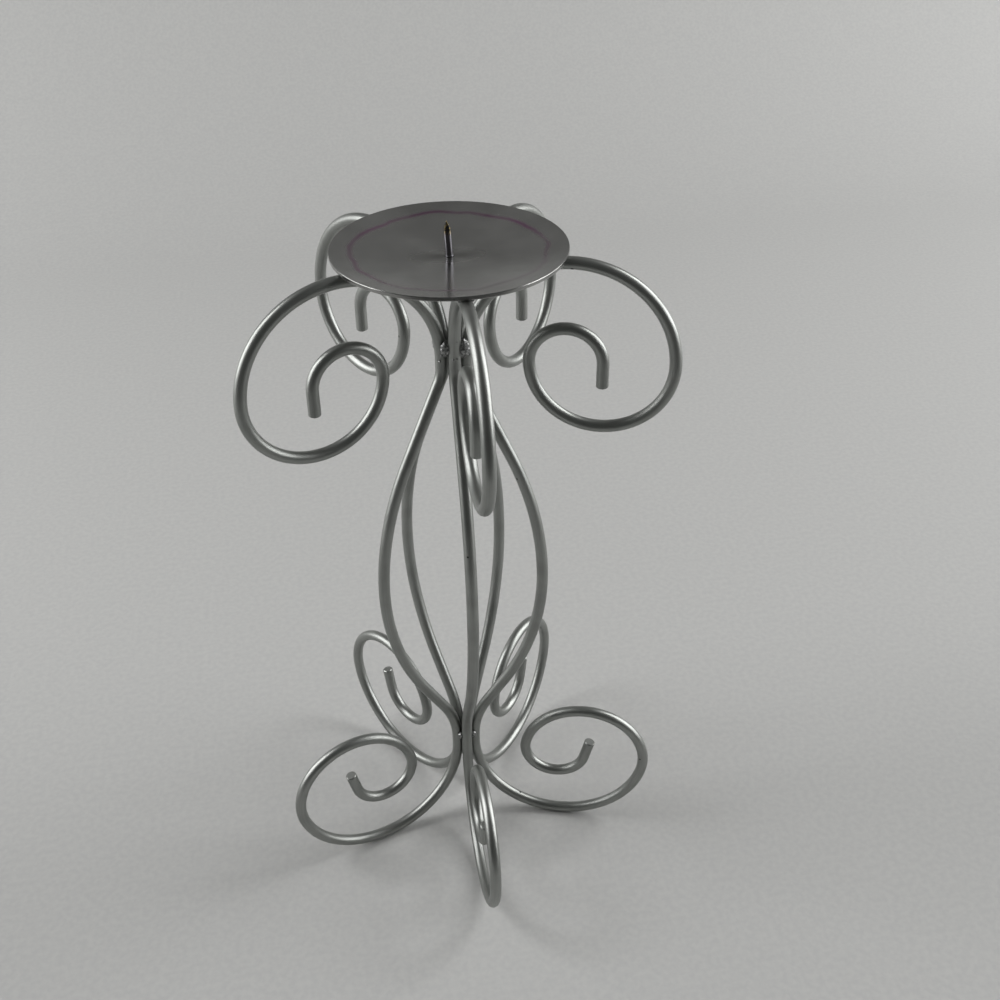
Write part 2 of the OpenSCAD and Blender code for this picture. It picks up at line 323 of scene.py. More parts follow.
@dataclass(frozen=True)
class PressedPanFinish:
    """Pressed mild steel sheet, polished satin while it turned, with the stain of a melted candle.

    The turning leaves circles too fine to see, which draw each reflection out along the radius. A candle
    has left a thin wandering ring of purple wax film, plain at the back and at both sides and faint at
    the front, and the sheet is darker and rougher in a patch about the spike, wider to the sides.
    """

    name: str = "satin_sheet_steel"
    steel: str = "#a3a3a1"
    cloudy: str = "#8d8d8b"
    wax: str = "#6e2a62"
    film: str = "#8e6a86"
    dull: str = "#5a5a58"
    roughness: float = 0.25
    film_roughness: float = 0.12  # what the film adds to the roughness
    dull_roughness: float = 0.25  # what the dull patch adds to it
    drawn_out: float = 0.7  # how much the circles draw a reflection out along the radius
    cloud_mm: float = 17.0
    cloud_share: float = 0.8
    wax_radius_mm: float = 36.9
    wax_wander_mm: float = 2.0
    wax_line_mm: float = 1.2  # how far from the ring's middle the line has faded out, and its strength
    wax_line_share: float = 0.5
    wax_film_mm: float = 2.3  # the same for the film
    wax_film_share: float = 0.6
    strong_side: tuple[float, float] = (-0.2, 0.98)  # the direction from the axis where it is plainest
    weakest: float = 0.35  # the ring's strength on the side away from the strong one
    dull_reach_mm: tuple[float, float] = (17.0, 6.0)  # to the sides, and to front and back
    dull_share: float = 0.7

    def wax_ring(
        self, tree: bpy.types.NodeTree, flat: bpy.types.Node, heading: bpy.types.Node, cloud: bpy.types.Node
    ) -> list[bpy.types.Node]:
        """Builds the ring of wax: a wide soft band of film and a narrow line in the middle of it.

        The ring's radius wanders with the heading, by a noise read on a circle of radius 1. Its strength
        falls from the strong side to the other by the cosine of the angle to it, and clouds break it up.

        Args:
            tree: The material's tree.
            flat: The place beside the axis.
            heading: Its direction from the axis.
            cloud: The clouds.

        Returns:
            The nodes that tell how much film and how much of the line there is.
        """
        radius = (add_node(tree, "VectorMath", {0: flat}, operation="LENGTH"), "Value")
        wander = add_node(tree, "TexNoise", {"Vector": heading, "Scale": 1.9, "Detail": 4.0})
        middle = add_node(
            tree,
            "MapRange",
            {
                "Value": wander,
                "From Min": 0.25,
                "From Max": 0.75,
                "To Min": (self.wax_radius_mm - self.wax_wander_mm) * MM,
                "To Max": (self.wax_radius_mm + self.wax_wander_mm) * MM,
            },
        )
        aside = add_node(tree, "Math", {0: radius, 1: middle}, operation="SUBTRACT")
        off = add_node(tree, "Math", {0: aside}, operation="ABSOLUTE")
        side = add_node(
            tree, "VectorMath", {0: heading, 1: (*self.strong_side, 0.0)}, operation="DOT_PRODUCT"
        )
        strength = add_node(
            tree,
            "MapRange",
            {"Value": (side, "Value"), "From Min": -0.7, "From Max": 0.3, "To Min": self.weakest},
            interpolation_type="SMOOTHSTEP",
        )
        broken = add_node(
            tree, "MapRange", {"Value": cloud, "From Min": 0.3, "From Max": 0.6, "To Min": 0.5}
        )
        left = add_node(tree, "Math", {0: strength, 1: broken}, operation="MULTIPLY")
        bands = []
        for width_mm, share in (
            (self.wax_film_mm, self.wax_film_share),
            (self.wax_line_mm, self.wax_line_share),
        ):
            band = add_node(
                tree,
                "MapRange",
                {"Value": off, "From Max": width_mm * MM, "To Min": 1.0, "To Max": 0.0},
                interpolation_type="SMOOTHSTEP",
            )
            band_left = add_node(tree, "Math", {0: band, 1: left}, operation="MULTIPLY")
            bands.append(add_node(tree, "Math", {0: band_left, 1: share}, operation="MULTIPLY"))
        return bands

    def dull_patch(
        self, tree: bpy.types.NodeTree, flat: bpy.types.Node, cloud: bpy.types.Node
    ) -> bpy.types.Node:
        """Builds the dull patch: an ellipse about the spike's foot, with an edge that the clouds fray.

        Args:
            tree: The material's tree.
            flat: The place beside the axis.
            cloud: The clouds.

        Returns:
            The node that tells how dull the sheet is.
        """
        reach_x, reach_y = (reach * MM for reach in self.dull_reach_mm)
        squeezed = add_node(
            tree, "VectorMath", {0: flat, 1: (1 / reach_x, 1 / reach_y, 0.0)}, operation="MULTIPLY"
        )
        far = add_node(tree, "VectorMath", {0: squeezed}, operation="LENGTH")
        frayed = add_node(tree, "Math", {0: (far, "Value"), 1: cloud}, operation="ADD")
        return add_node(
            tree,
            "MapRange",
            {"Value": frayed, "From Min": 0.5, "From Max": 1.7, "To Min": self.dull_share, "To Max": 0.0},
            interpolation_type="SMOOTHSTEP",
        )

    def nodes(self, tree: bpy.types.NodeTree) -> dict[str, Any]:
        """Builds the patterns, which are centred on the stand's axis.

        Args:
            tree: The material's tree.

        Returns:
            What goes into the shader.
        """
        place = (add_node(tree, "TexCoord"), "Object")
        flat = add_node(tree, "VectorMath", {0: place, 1: (1, 1, 0)}, operation="MULTIPLY")
        heading = add_node(tree, "VectorMath", {0: flat}, operation="NORMALIZE")
        cloud = add_node(
            tree, "TexNoise", {"Vector": place, "Scale": 1 / (self.cloud_mm * MM), "Detail": 3.0}
        )
        film, line = self.wax_ring(tree, flat, heading, cloud)
        dulled = self.dull_patch(tree, flat, cloud)
        clouded = add_node(
            tree,
            "MapRange",
            {"Value": cloud, "From Min": 0.35, "From Max": 0.7, "To Max": self.cloud_share},
        )
        colour: Any = self.steel
        layers = ((clouded, self.cloudy), (dulled, self.dull), (film, self.film), (line, self.wax))
        for share, over in layers:
            mix = add_node(tree, "Mix", {"Factor": share, FIRST: colour, SECOND: over}, data_type="RGBA")
            colour = (mix, MIXED)
        rough: Any = self.roughness
        for share, more in ((film, self.film_roughness), (dulled, self.dull_roughness)):
            rough = add_node(tree, "Math", {0: share, 1: more, 2: rough}, operation="MULTIPLY_ADD")
        return {
            "Base Color": colour,
            "Roughness": rough,
            "Metallic": 1.0,
            "Anisotropic": self.drawn_out,
            "Tangent": heading,
        }


@dataclass(frozen=True)
class NailFinish:
    """A bright wire nail: hard drawn wire, polished in the tumbler, with a yellowed point.

    Faint upright streaks run up its shank, and its cut point is darker, with yellow spots.
    """

    name: str = "bright_wire_nail"
    wire: str = "#929196"
    streak: str = "#6b6971"
    dark_point: str = "#3b3833"
    glint: str = "#a8945c"
    roughness: float = 0.28
    streak_mm: float = 0.5
    streak_run_mm: float = 9.0
    streak_share: float = 0.5
    spot_mm: float = 1.1
    tint_share: float = 0.85
    point_from: float = 0.3042  # where the tint starts and where it is full, in metres above the floor
    point_full: float = 0.3062

    def nodes(self, tree: bpy.types.NodeTree) -> dict[str, Any]:
        """Builds the patterns; the streaks run up the shank.

        Args:
            tree: The material's tree.

        Returns:
            What goes into the shader.
        """
        place = (add_node(tree, "TexCoord"), "Object")
        thin, tall = 1 / (self.streak_mm * MM), 1 / (self.streak_run_mm * MM)
        upright = add_node(tree, "Mapping", {"Vector": place, "Scale": (thin, thin, tall)})
        streak = add_node(tree, "TexNoise", {"Vector": upright, "Scale": 1.0, "Detail": 2.0})
        spot = add_node(tree, "TexNoise", {"Vector": place, "Scale": 1 / (self.spot_mm * MM), "Detail": 1.0})
        height = (add_node(tree, "SeparateXYZ", {0: place}), "Z")
        up = add_node(
            tree,
            "MapRange",
            {
                "Value": height,
                "From Min": self.point_from,
                "From Max": self.point_full,
                "To Max": self.tint_share,
            },
        )
        golden = add_node(tree, "MapRange", {"Value": spot, "From Min": 0.48, "From Max": 0.58})
        streaky = add_node(
            tree,
            "MapRange",
            {"Value": streak, "From Min": 0.35, "From Max": 0.65, "To Max": self.streak_share},
        )
        mixes: list[Any] = []
        for share, under, over in ((streaky, self.wire, self.streak), (golden, self.dark_point, self.glint)):
            mix = add_node(tree, "Mix", {"Factor": share, FIRST: under, SECOND: over}, data_type="RGBA")
            mixes.append((mix, MIXED))
        shank, point = mixes
        colour = add_node(tree, "Mix", {"Factor": up, FIRST: shank, SECOND: point}, data_type="RGBA")
        return {"Base Color": (colour, MIXED), "Roughness": self.roughness, "Metallic": 1.0}


@dataclass(frozen=True)
class WeldFinish:
    """Arc-welded steel, wire-brushed: grey scale in the hollows and bright metal on the humps."""

    name: str = "brushed_weld_bead"
    scale: str = "#6e6f6e"
    bright: str = "#a6a7a6"
    scale_roughness: float = 0.48
    bright_roughness: float = 0.3
    speck_mm: float = 0.9
    speck_height_mm: float = 0.2

    def nodes(self, tree: bpy.types.NodeTree) -> dict[str, Any]:
        """Builds the specks, which part the scale from the bright metal.

        Args:
            tree: The material's tree.

        Returns:
            What goes into the shader.
        """
        place = (add_node(tree, "TexCoord"), "Object")
        speck = add_node(
            tree, "TexNoise", {"Vector": place, "Scale": 1 / (self.speck_mm * MM), "Detail": 3.0}
        )
        brushed = add_node(tree, "MapRange", {"Value": speck, "From Min": 0.42, "From Max": 0.6})
        colour = add_node(
            tree, "Mix", {"Factor": brushed, FIRST: self.scale, SECOND: self.bright}, data_type="RGBA"
        )
        rough = add_node(
            tree,
            "MapRange",
            {
                "Value": speck,
                "From Min": 0.42,
                "From Max": 0.6,
                "To Min": self.scale_roughness,
                "To Max": self.bright_roughness,
            },
        )
        height = self.speck_height_mm * MM
        bump = add_node(tree, "Bump", {"Height": speck, "Strength": 0.4, "Distance": height})
        return {"Base Color": (colour, MIXED), "Roughness": rough, "Normal": bump, "Metallic": 1.0}


@dataclass(frozen=True)
class ClothFinish:
    """Plain-woven cotton sheeting in pale grey, matt, with a weave too fine to show but as a soft grain."""

    name: str = "pale_cotton_sheeting"
    cloth: str = "#bdbdbb"
    shade: str = "#b7b7b6"
    roughness: float = 0.9
    specular: float = 0.1  # loose fibres reflect much less than a smooth surface does
    grain_mm: float = 3.0

    def nodes(self, tree: bpy.types.NodeTree) -> dict[str, Any]:
        """Builds the grain.

        Args:
            tree: The material's tree.

        Returns:
            What goes into the shader.
        """
        place = (add_node(tree, "TexCoord"), "Object")
        grain = add_node(
            tree, "TexNoise", {"Vector": place, "Scale": 1 / (self.grain_mm * MM), "Detail": 3.0}
        )
        woven = add_node(tree, "MapRange", {"Value": grain, "From Min": 0.35, "From Max": 0.65})
        colour = add_node(
            tree, "Mix", {"Factor": woven, FIRST: self.cloth, SECOND: self.shade}, data_type="RGBA"
        )
        return {
            "Base Color": (colour, MIXED),
            "Roughness": self.roughness,
            "Specular IOR Level": self.specular,
        }


# ---------------------------------------------------------------- the stand


class Station(Enum):
    """The five rods, by where they stand around the pan, counted anticlockwise from the front."""

    FRONT = 0
    RIGHT = 1
    BACK_RIGHT = 2
    BACK_LEFT = 3
    LEFT = 4

    @property
    def node(self) -> str:
        """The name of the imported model's node for this rod."""
        return f"scroll_rod_{self.name.lower()}"


@dataclass
class StandPlan:
    """The sizes that the rods, the pan, the spike and the welds share, in millimetres and degrees."""

    rod_count: int = 5
    rod_d: float = 5.0
    jig_outer: float = 41.0
    jig_middle: float = 28.5
    jig_inner: float = 14.5
    waist_gap: float = 0.1
    waist_land: float = 4.0
    waist_bend: float = 45.0
    ankle_straight: float = 18.0
    belly_r: float = 36.5
    belly_rise: float = 100.0
    shoulder_rise: float = 102.0
    shoulder_straight: float = 38.0
    neck_bend: float = 14.0
    neck_land: float = 5.0
    neck_gap: float = 0.9
    front_azimuth: float = -90.0
    hand_set: tuple[float, ...] = (0.0, 0.0, -2.0, -3.0, 1.0)
    pan_d: float = 90.0
    pan_depth: float = 4.2
    sheet_t: float = 1.5
    spike_lean: float = 3.0
    head_d: float = 6.2
    head_t: float = 1.1
    hole_clearance: float = 0.15

    def azimuth(self, i: int) -> float:
        """Returns the direction, in degrees from +X, over which rod i stands."""
        return self.front_azimuth + 360 / self.rod_count * i + self.hand_set[i % self.rod_count]

    def step_after(self, i: int) -> float:
        """Returns the angle from rod i to the next one."""
        return self.azimuth(i + 1) - self.azimuth(i)

    def ring_r(self, gap: float) -> float:
        """Returns how far from the axis the two closest rods are a given gap apart."""
        closest = min(self.step_after(i) for i in range(self.rod_count))
        return (self.rod_d + gap) / (2 * math.sin(math.radians(closest / 2)))

    @property
    def waist_r(self) -> float:
        """The rods' distance from the axis at the waist."""
        return self.ring_r(self.waist_gap)

    @property
    def neck_r(self) -> float:
        """The rods' distance from the axis at the neck."""
        return self.ring_r(self.neck_gap)

    @property
    def bend_reach(self) -> float:
        """How far the outer bends, which are the feet and the crowns, reach from their centres."""
        return self.jig_outer + self.rod_d / 2

    @property
    def waist_z(self) -> float:
        """The height at which the rods' upright run at the waist starts, level with the feet's centres."""
        return self.bend_reach

    @property
    def neck_z(self) -> float:
        """The height at which the rods' upright run at the neck starts."""
        return self.waist_z + self.waist_land + self.belly_rise + self.shoulder_rise

    @property
    def crown_r(self) -> float:
        """The distance of the crowns' centres from the axis."""
        return self.neck_r + self.jig_outer

    @property
    def crown_z(self) -> float:
        """The height of the crowns' centres."""
        return self.neck_z + self.neck_land

    def neck_reach(self, z: float) -> float:
        """Finds how far from the axis the rods are near the neck.

        They stand upright along the neck's straight run. Above it they swing outwards around the jig's
        outer groove, and below it around the neck bend, by the radius less the leg of a right triangle.

        Args:
            z: The height.

        Returns:
            The distance of the rods' centre lines from the axis.
        """
        rise, bend = max(z - self.crown_z, 0.0), self.jig_outer
        if z < self.neck_z:
            rise, bend = self.neck_z - z, self.neck_bend
        return self.neck_r + bend - math.sqrt(bend**2 - rise**2)

    @property
    def dish_r(self) -> float:
        """The radius of the ball that the dish's inside is part of."""
        return ((self.pan_d / 2) ** 2 + self.pan_depth**2) / (2 * self.pan_depth)

    @property
    def seat_reach(self) -> float:
        """How far the dish's centre is from a crown's centre: the underside rests on the crown."""
        return self.dish_r + self.sheet_t + self.bend_reach

    @property
    def seat_tilt(self) -> float:
        """The dish's slope, in degrees, where it rests on a crown."""
        return math.degrees(math.asin(self.crown_r / self.seat_reach))

    @property
    def floor_z(self) -> float:
        """The height of the lowest point of the dish's inside."""
        return self.crown_z + self.seat_reach * math.cos(math.radians(self.seat_tilt)) - self.dish_r

    def belly(self, span: tuple[float, float], bend: float, straight: float) -> tuple[float, float]:
        """Works out half of the belly.

        It is one arc, tangent to the upright at the widest level and to a straight run that leads into a
        smaller bend of the opposite hand, so both follow from the span between that bend's end and the
        widest level by Pythagoras.

        Args:
            span: How far the widest level lies outwards and upwards of the small bend's end.
            bend: The small bend's radius.
            straight: The straight run's length.

        Returns:
            The arc's radius and how many degrees it turns.
        """
        out, up = span
        radius = ((bend - out) ** 2 + up**2 - bend**2 - straight**2) / (2 * out)
        turn = math.atan2(up, bend + radius - out) - math.atan2(straight, bend + radius)
        return radius, math.degrees(turn)


@dataclass
class ScrollRod:
    """One rod, cut to length and bent cold over a stepped jig: a foot scroll, a belly and a head scroll."""

    plan: StandPlan
    station: Station
    tip_chamfer: float = 0.4
    tip_softness: float = 0.03  # how far the chamfer's own edges are rounded
    head_turns: tuple[float, float, float] = (180.0, 177.0, 183.0)
    head_tip: float = 10.0
    foot_turns: tuple[float, float, float] = (166.0, 184.0, 176.0)
    foot_tip: float = 10.5
    pitch: float = 0.9
    sides: int = 36
    waver: float = 0.018  # how far the skin dips below the round rod
    # The waver's waves: how many millimetres of run turn one by a radian, turns around, share of the seed.
    waves: tuple[tuple[float, int, float], ...] = ((5.3, 2, 1.0), (8.9, -1, 2.1), (3.1, 3, 0.6))

    def bends(self) -> tuple[list[tuple[float, float]], list[tuple[float, float]]]:
        """Lists the bends outwards from the waist.

        A bend is a radius and degrees. A positive radius turns left and a negative one right. Radius 0
        runs straight, and its second number is then a length.

        Returns:
            The foot's and the body's bends.
        """
        p = self.plan
        low, low_turn = p.belly((p.belly_r - p.waist_r, p.belly_rise), p.waist_bend, p.ankle_straight)
        high, high_turn = p.belly((p.belly_r - p.neck_r, p.shoulder_rise), p.neck_bend, p.shoulder_straight)
        jig = (p.jig_outer, p.jig_middle, p.jig_inner)
        foot = [*zip(jig, self.foot_turns), (0.0, self.foot_tip)]
        body = [
            (0.0, p.waist_land),
            (-p.waist_bend, low_turn),
            (0.0, p.ankle_straight),
            (low, low_turn),
            (high, high_turn),
            (0.0, p.shoulder_straight),
            (-p.neck_bend, high_turn),
            (0.0, p.neck_land),
            *[(-r, t) for r, t in zip(jig, self.head_turns)],
            (0.0, self.head_tip),
        ]
        return foot, body

    def follow(self, bends: list[tuple[float, float]], heading: float) -> tuple[np.ndarray, np.ndarray]:
        """Follows bends from the waist.

        Along an arc the heading changes evenly and the point keeps its distance from the arc's centre;
        along a straight the heading stays and the point moves on.

        Args:
            bends: The bends, in order.
            heading: The first heading, in degrees: 0 outwards, 90 up.

        Returns:
            Points as [distance from the axis, height], and the heading at each, in radians.
        """
        point = np.array([self.plan.waist_r, self.plan.waist_z])
        points, headings = [], []
        for radius, amount in bends:
            length = amount if radius == 0 else abs(radius) * math.radians(amount)
            t = np.linspace(0, 1, max(4, math.ceil(length / self.pitch)) + 1)
            if radius == 0:
                h = np.full(len(t), math.radians(heading))
                run = point + np.outer(t * length, [math.cos(h[0]), math.sin(h[0])])
            else:
                h = np.radians(heading + math.copysign(amount, radius) * t)
                left = np.stack([-np.sin(h), np.cos(h)], -1)
                run = point + radius * (left[0] - left)
            points.append(run[:-1])
            headings.append(h[:-1])
            point, heading = run[-1], math.degrees(h[-1])
        return np.vstack([*points, point]), np.append(np.concatenate(headings), math.radians(heading))

    def centre_line(self) -> tuple[np.ndarray, np.ndarray, np.ndarray]:
        """Joins the foot's line, turned end for end, to the body's.

        Returns:
            Points from the foot's tip to the head's, their headings and the lengths so far.
        """
        foot, body = self.bends()
        foot_points, foot_headings = self.follow(foot, -90)
        body_points, body_headings = self.follow(body, 90)
        points = np.vstack([foot_points[:0:-1], body_points])
        headings = np.concatenate([foot_headings[:0:-1] + math.pi, body_headings])
        steps = np.hypot(*np.diff(points, axis=0).T)
        return points, headings, np.append(0, np.cumsum(steps))

    def rounded_ends(
        self, points: np.ndarray, headings: np.ndarray, run: np.ndarray
    ) -> tuple[np.ndarray, np.ndarray, np.ndarray, np.ndarray]:
        """Adds the rings of the filed chamfer and of the flat cut at both ends.

        The radius falls with the way to the tip along the chamfer, and then to a quarter on the flat cut.

        Args:
            points: The centre line.
            headings: Its headings.
            run: Its lengths so far.

        Returns:
            The centre line, headings and lengths with the new rings, and the radius at each ring.
        """
        r, c, s = self.plan.rod_d / 2, self.tip_chamfer, self.tip_softness
        back = np.array([1.5 * c, c + s, c, c - s, s, 0.0, 0.0, 0.0, 0.0])
        radius = np.array([r, r, r - s / 5, r - s, r - c + s, r - c, r - c - s, 0.6 * r, 0.25 * r])
        ahead = np.stack([np.cos(headings), np.sin(headings)], -1)
        clear = 1.5 * c + 0.2
        kept = (run > clear) & (run < run[-1] - clear)
        first = points[0] + np.outer(back[::-1], ahead[0])
        last = points[-1] - np.outer(back, ahead[-1])
        n = len(back)
        return (
            np.vstack([first, points[kept], last]),
            np.concatenate([np.full(n, headings[0]), headings[kept], np.full(n, headings[-1])]),
            np.concatenate([back[::-1], run[kept], run[-1] - back]),
            np.concatenate([radius[::-1], np.full(int(kept.sum()), r), radius]),
        )

    def surface(self) -> Surface:
        """Makes the rod's skin: a circle carried square along the centre line.

        Around the circle the radius is lower by a slow sum of sines of the angle and the length, which is
        the waver that cold bending by hand leaves in a drawn rod.

        Returns:
            The skin. Its points carry the length so far and their place across the rod.
        """
        points, headings, run, radius = self.rounded_ends(*self.centre_line())
        t = np.linspace(0, 2 * math.pi, self.sides, endpoint=False)
        seed = 1.7 * self.station.value
        wave = sum(np.sin(run[:, None] / each + n * t + k * seed) for each, n, k in self.waves)
        skin = radius[:, None] - self.waver * (1 + wave / len(self.waves)) / 2
        square = np.stack([-np.sin(headings), np.zeros(len(headings)), np.cos(headings)], -1)
        centre = np.stack([points[:, 0], np.zeros(len(points)), points[:, 1]], -1)
        beside = np.array([0.0, 1.0, 0.0])
        rings = (
            centre[:, None]
            + (skin * np.cos(t))[..., None] * square[:, None]
            + (skin * np.sin(t))[..., None] * beside
        )
        # A metre of run is set between the rods' patterns, so that no two rods have the same one.
        length = np.broadcast_to(run[:, None] + 1000 * self.station.value, skin.shape)
        carried = np.stack([length, radius[:, None] * np.cos(t), radius[:, None] * np.sin(t)], -1)
        return tube(turned(rings * MM, self.plan.azimuth(self.station.value)), carried * MM)

    def build(self, finish: bpy.types.Material) -> bpy.types.Object:
        """Makes the rod, dressed, in place of its node.

        Args:
            finish: Its material.

        Returns:
            The rod.
        """
        made = piece(f"rod_{self.station.name.lower()}", self.surface(), finish)
        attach(made, BODY)
        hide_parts(self.station.node)
        return made


@dataclass
class DripPan:
    """The shallow round dish, pressed from sheet and cropped to a plain edge."""

    plan: StandPlan
    hole_r: float = 1.75
    burr: float = 0.22  # radius of the rounding at the top and the bottom of the cropped edge
    burr_rise: float = 0.03  # how far cropping has raised the edge above the dish
    top_rows: int = 110
    under_rows: int = 60
    columns: int = 288

    def profile(self) -> np.ndarray:
        """Draws the closed outline of the sheet's section.

        Top and underside are arcs about the dish's centre. The cropped edge is upright, with a small
        round at its top and bottom, and the hole's edge is upright too.

        Returns:
            Points as [distance from the axis, height].
        """
        p, burr = self.plan, self.burr
        centre, r_in, r_out, rim = p.floor_z + p.dish_r, p.dish_r, p.dish_r + p.sheet_t, p.pan_d / 2
        inner = np.linspace(self.hole_r, rim - burr, self.top_rows)
        under = np.linspace(rim - burr, self.hole_r, self.under_rows)

        def arc(radius: float, out: np.ndarray) -> np.ndarray:
            """Returns points on a circle about the dish's centre, below it by Pythagoras."""
            return np.stack([out, centre - np.sqrt(radius**2 - out**2)], -1)

        top, bottom = arc(r_in, inner), arc(r_out, under)
        a = np.linspace(0, math.pi / 2, 7)[1:]
        crest = top[-1, 1] + self.burr_rise
        high = np.stack([rim - burr * (1 - np.sin(a)), crest - burr * (1 - np.cos(a))], -1)
        low = np.stack([rim - burr * (1 - np.cos(a)), bottom[0, 1] + burr * (1 - np.sin(a))], -1)
        wall = np.stack([np.full(5, rim), np.linspace(high[-1, 1], low[0, 1], 7)[1:-1]], -1)
        hole = np.stack([np.full(3, self.hole_r), np.linspace(bottom[-1, 1], top[0, 1], 5)[1:-1]], -1)
        return np.vstack([top, high, wall, low, bottom[1:], hole])

    def surface(self) -> Surface:
        """Turns the section about the stand's axis.

        Returns:
            The pan's surface.
        """
        out, z = self.profile().T[..., None]
        t = np.linspace(0, 2 * math.pi, self.columns, endpoint=False)
        rings = np.stack(np.broadcast_arrays(out * np.cos(t), out * np.sin(t), z), -1)
        return ring_wall(rings * MM)

    def build(self, finish: bpy.types.Material) -> bpy.types.Object:
        """Makes the pan, dressed, in place of its node.

        Args:
            finish: Its material.

        Returns:
            The pan.
        """
        made = piece("pan", self.surface(), finish)
        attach(made, BODY)
        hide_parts("drip_pan")
        return made


@dataclass
class CandleSpike:
    """The wire nail that stands in the pan, pushed up from below, with its four-sided point."""

    plan: StandPlan
    shank_d: float = 2.8
    height: float = 14.0
    point: float = 4.5
    grip_step: float = 0.2
    grip_rise: float = 0.5
    # The head's rim, going up: the share of its thickness below its top, and how far inside its edge.
    head_rim: tuple[tuple[float, float], ...] = (
        (1.0, 0.15),
        (0.97, 0.04),
        (0.8, 0.0),
        (0.2, 0.0),
        (0.03, 0.04),
        (0.0, 0.15),
    )
    columns: int = 64
    bluntness: float = 1.35  # 1 for straight flats; above 1 they swell a little, as pinched flats do
    sharpness: float = 24.0  # of the edges between the flats and the round wire

    def section(self) -> tuple[np.ndarray, np.ndarray]:
        """Lists the nail's rings from the head to the point.

        Returns:
            The height of each ring above the dish's lowest point, and its radius as round wire.
        """
        p = self.plan
        r, base, head = self.shank_d / 2, self.height - self.point, p.head_d / 2
        neck, top = r + self.grip_step, self.grip_rise
        head_top = -p.sheet_t - p.hole_clearance - head * math.sin(math.radians(p.spike_lean))
        # Each corner has rings a few hundredths of a millimetre apart, so that it stays crisp when shaded.
        below, inside = np.array(self.head_rim).T
        z_head = head_top - p.head_t * np.concatenate([[1.0], below, [0.0]])
        r_head = np.concatenate([[0.5 * head], head - inside, [neck + 0.1]])
        z_neck = np.array([head_top + 0.05, head_top + 0.1, 0.0, top - 0.12, top - 0.04, top, top])
        r_neck = np.array([neck + 0.02, neck, neck, neck, neck - 0.01, neck - 0.05, r + 0.02])
        z_shank = np.linspace(top + 0.04, base, 34)
        z_point = np.linspace(base, self.height - 0.02, 44)[1:]
        wire = np.full(len(z_shank) + len(z_point), r)
        return np.concatenate([z_head, z_neck, z_shank, z_point]), np.concatenate([r_head, r_neck, wire])

    def surface(self) -> Surface:
        """Makes the nail, turned about its own axis and then leaned to the left.

        Going up, the section is a disc for the head, a circle for the thicker neck and a smaller one for
        the shank. In the point it is what a circle and a shrinking square share, so four flats grow out
        of the round wire. The square's half width falls from the shank's radius to nothing as one less a
        power of the share of the point that has been climbed.

        Returns:
            The nail's surface.
        """
        p = self.plan
        z, round_r = self.section()
        t = np.linspace(0, 2 * math.pi, self.columns, endpoint=False)
        r, base = self.shank_d / 2, self.height - self.point
        climbed = np.clip((z - base) / self.point, 0, 1)
        outside = 1000.0  # below the point the square is far outside the wire
        flat = np.where(z > base, r * (1 - climbed**self.bluntness), outside)
        square = flat[:, None] / np.maximum(np.abs(np.cos(t)), np.abs(np.sin(t)))
        n = self.sharpness
        soft = (round_r[:, None] ** -n + square**-n) ** (-1 / n)
        rings = np.stack([soft * np.cos(t), soft * np.sin(t), np.broadcast_to(z[:, None], soft.shape)], -1)
        c, s = math.cos(math.radians(p.spike_lean)), math.sin(math.radians(p.spike_lean))
        turn = np.array([[c, 0, s], [0, 1, 0], [-s, 0, c]])
        foot = np.array([0, 0, p.floor_z])
        place = (rings @ turn + foot) * MM
        ends = (np.array([[0, 0, z[0]], [0, 0, self.height]]) @ turn + foot) * MM
        return tube(place, place.copy(), ends)

    def build(self, finish: bpy.types.Material) -> bpy.types.Object:
        """Makes the spike, dressed, in place of its node.

        Args:
            finish: Its material.

        Returns:
            The spike.
        """
        made = piece("spike", self.surface(), finish)
        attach(made, BODY)
        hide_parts("candle_spike")
        return made


@dataclass(frozen=True)
class Bead:
    """One blob of weld metal: its centre, the direction its ripples follow, its sizes, and its seed."""

    centre: tuple[float, float, float]
    axis: tuple[float, float, float]
    radius: float
    length: float
    seed: float
    lumps: float = 0.1
    ripples: float = 0.05
    ripple_rate: float = 4.2  # radians of ripple from middle to end, for each radius that the bead is long

    def surface(self, rows: int = 30, columns: int = 40) -> Surface:
        """Makes the bead.

        It is a ball stretched along its axis. Its radius rises and falls with the cosine of the place
        along the axis for the ripples, and by a sum of sines of direction for the lumps.

        Args:
            rows: Rings from pole to pole.
            columns: Points around.

        Returns:
            The closed surface, in metres.
        """
        axis = Vector(self.axis).normalized()
        across = axis.orthogonal().normalized()
        basis = np.array([across, axis.cross(across), axis])
        v = np.linspace(0, math.pi, rows + 2)[1:-1, None]
        u = np.linspace(0, 2 * math.pi, columns, endpoint=False)[None]
        ball = np.stack(np.broadcast_arrays(np.sin(v) * np.cos(u), np.sin(v) * np.sin(u), np.cos(v)), -1)
        x, y, z, k = ball[..., 0], ball[..., 1], ball[..., 2], self.seed
        lump = (
            np.sin(3.1 * x + k)
            + np.sin(4.3 * y - 2 * k)
            + np.sin(3.7 * z + 3 * k)
            + 0.6 * np.sin(7.9 * (x - y) + 1.3 * k)
            + 0.5 * np.sin(9.7 * (y + z) - 0.7 * k)
        ) / 4
        ripple = np.cos(z * self.length / max(self.radius, 0.01) * self.ripple_rate)
        scale = 1 + self.lumps * lump + self.ripples * ripple
        stretched = ball * scale[..., None] * np.array([self.radius, self.radius, self.length / 2])
        place = (stretched @ basis + np.array(self.centre)) * MM
        return tube(place, place.copy())


@dataclass(frozen=True)
class WeldRun:
    """A kind of weld, in millimetres: how far out or up its beads are set, and their radius and length."""

    out: float
    radius: float
    length: float


